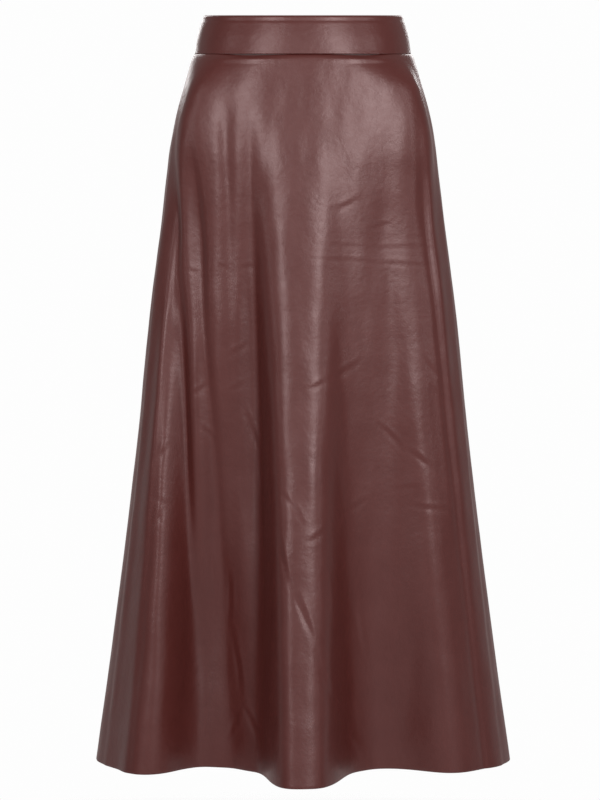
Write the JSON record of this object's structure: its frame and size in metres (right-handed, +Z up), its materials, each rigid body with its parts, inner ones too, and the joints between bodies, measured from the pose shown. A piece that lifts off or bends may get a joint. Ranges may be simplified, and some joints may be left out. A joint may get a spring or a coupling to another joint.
{
  "type": "flared leather skirt",
  "caption": "Long flared skirt of soft leather with a shaped waistband and deep folds opening towards the hem, hollow as worn, with a concealed zip at the centre back.",
  "frame": {"origin": "middle of the waist's hollow at half the height of the waistband, where the wearer's waist holds the skirt", "axes": "+Z up along the wearer's body, the skirt's front faces -Y, and +X is to the right as seen from the front"},
  "size_m": [0.5164, 0.3657, 0.9315],
  "materials": {
    "leather": "satin dark reddish brown, fine grain",
    "zip_tape": "matt woven tape in the leather's colour",
    "zip_metal": "lacquered metal in the leather's colour"
  },
  "bodies": {
    "skirt": {"waistband_front": "leather", "waistband_back_left": "leather", "waistband_back_right": "leather", "front_panel": "leather", "back_panel_left": "leather", "back_panel_right": "leather", "zip_tape_left": "zip_tape", "zip_tape_right": "zip_tape", "zip_slider": "zip_metal"},
    "pull_tab": {"zip_pull": "zip_metal"}
  },
  "joints": [
    {"name": "pull_tab_swing", "type": "hinge", "parent": "skirt", "child": "pull_tab", "pos_m": [0, 0.09026, 0.01291], "axis": [1, 0, 0], "range_deg": [0, 160]}
  ]
}
